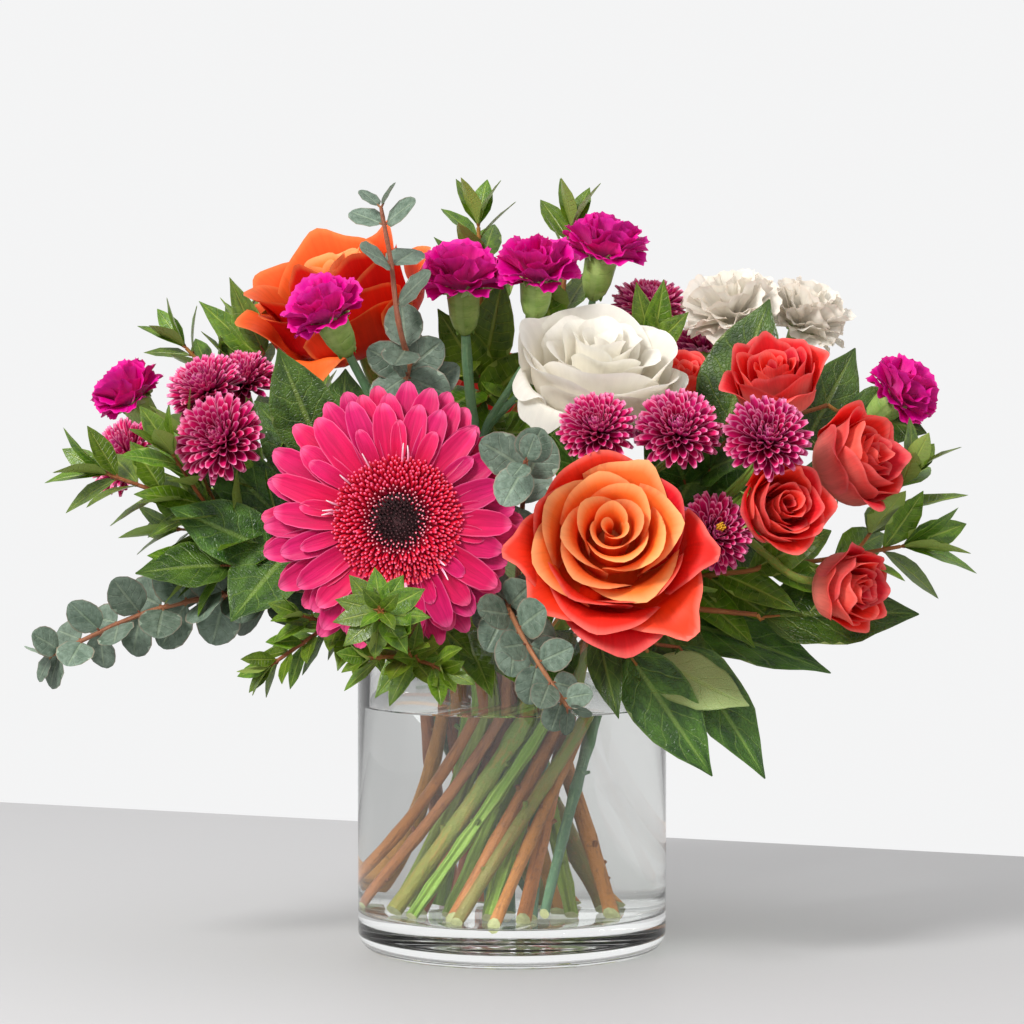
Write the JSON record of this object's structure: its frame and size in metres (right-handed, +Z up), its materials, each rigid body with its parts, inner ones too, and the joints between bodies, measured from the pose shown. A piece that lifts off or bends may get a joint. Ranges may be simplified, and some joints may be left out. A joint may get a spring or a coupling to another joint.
{
  "type": "mixed rose bouquet in a glass vase",
  "caption": "Mixed bouquet of roses, gerbera, spray roses, button mums, carnations and foliage standing in a clear glass cylinder vase.",
  "frame": {"origin": "centre of the vase's flat underside", "axes": "+Z up along the vase's axis, -Y towards the bouquet's show side, +X to the right seen from the show side"},
  "size_m": [0.3758, 0.2816, 0.3231],
  "materials": {
    "clear_glass": "clear, polished",
    "stem_green": "fresh cut green stem",
    "stem_blue_green": "fresh cut blue-green stem",
    "petal_hot_pink": "soft petal",
    "petal_orange": "soft petal",
    "petal_ivory": "soft petal",
    "petal_coral": "soft petal",
    "petal_burgundy": "soft petal",
    "petal_magenta": "soft petal",
    "leaf_grey_green": "waxy bloom",
    "leaf_bright_green": "satin leaf",
    "leaf_dark_green": "leathery leaf"
  },
  "bodies": {
    "root": {"vase": "clear_glass", "gerbera_stem": "stem_green", "rose_front_stem": "stem_green", "rose_back_stem": "stem_green", "rose_white_stem": "stem_green", "rose_rear_stem": "stem_green", "spray_rose_upper_stem": "stem_green", "spray_rose_lower_stem": "stem_green", "mum_centre_stem": "stem_green", "mum_right_stem": "stem_green", "mum_left_stem": "stem_green", "mum_rear_stem": "stem_green", "white_carnation_stem": "stem_blue_green", "carnation_top_stem": "stem_blue_green", "carnation_left_stem": "stem_blue_green", "carnation_right_stem": "stem_blue_green", "carnation_far_left_stem": "stem_blue_green", "gerbera": "petal_hot_pink", "rose_front": "petal_orange", "rose_back": "petal_orange", "rose_rear": "petal_orange", "rose_white": "petal_ivory", "white_carnation_a": "petal_ivory", "white_carnation_b": "petal_ivory", "spray_rose_a": "petal_coral", "spray_rose_b": "petal_coral", "spray_rose_c": "petal_coral", "spray_rose_d": "petal_coral", "spray_rose_e": "petal_coral", "mum_centre_a": "petal_burgundy", "mum_centre_b": "petal_burgundy", "mum_right_a": "petal_burgundy", "mum_right_b": "petal_burgundy", "mum_left_a": "petal_burgundy", "mum_left_b": "petal_burgundy", "mum_left_c": "petal_burgundy", "mum_left_d": "petal_burgundy", "mum_rear_a": "petal_burgundy", "mum_rear_b": "petal_burgundy", "mum_rear_c": "petal_burgundy", "carnation_top_a": "petal_magenta", "carnation_top_b": "petal_magenta", "carnation_top_c": "petal_magenta", "carnation_left": "petal_magenta", "carnation_right": "petal_magenta", "carnation_far_left": "petal_magenta", "eucalyptus_top": "leaf_grey_green", "eucalyptus_centre": "leaf_grey_green", "eucalyptus_front": "leaf_grey_green", "eucalyptus_left": "leaf_grey_green", "myrtle_top": "leaf_bright_green", "myrtle_left": "leaf_bright_green", "myrtle_upper_left": "leaf_bright_green", "myrtle_front": "leaf_bright_green", "myrtle_right": "leaf_bright_green", "myrtle_rear": "leaf_bright_green", "salal_upper_right": "leaf_dark_green", "salal_lower_right": "leaf_dark_green", "salal_left": "leaf_dark_green", "salal_rear": "leaf_dark_green"}
  },
  "joints": []
}
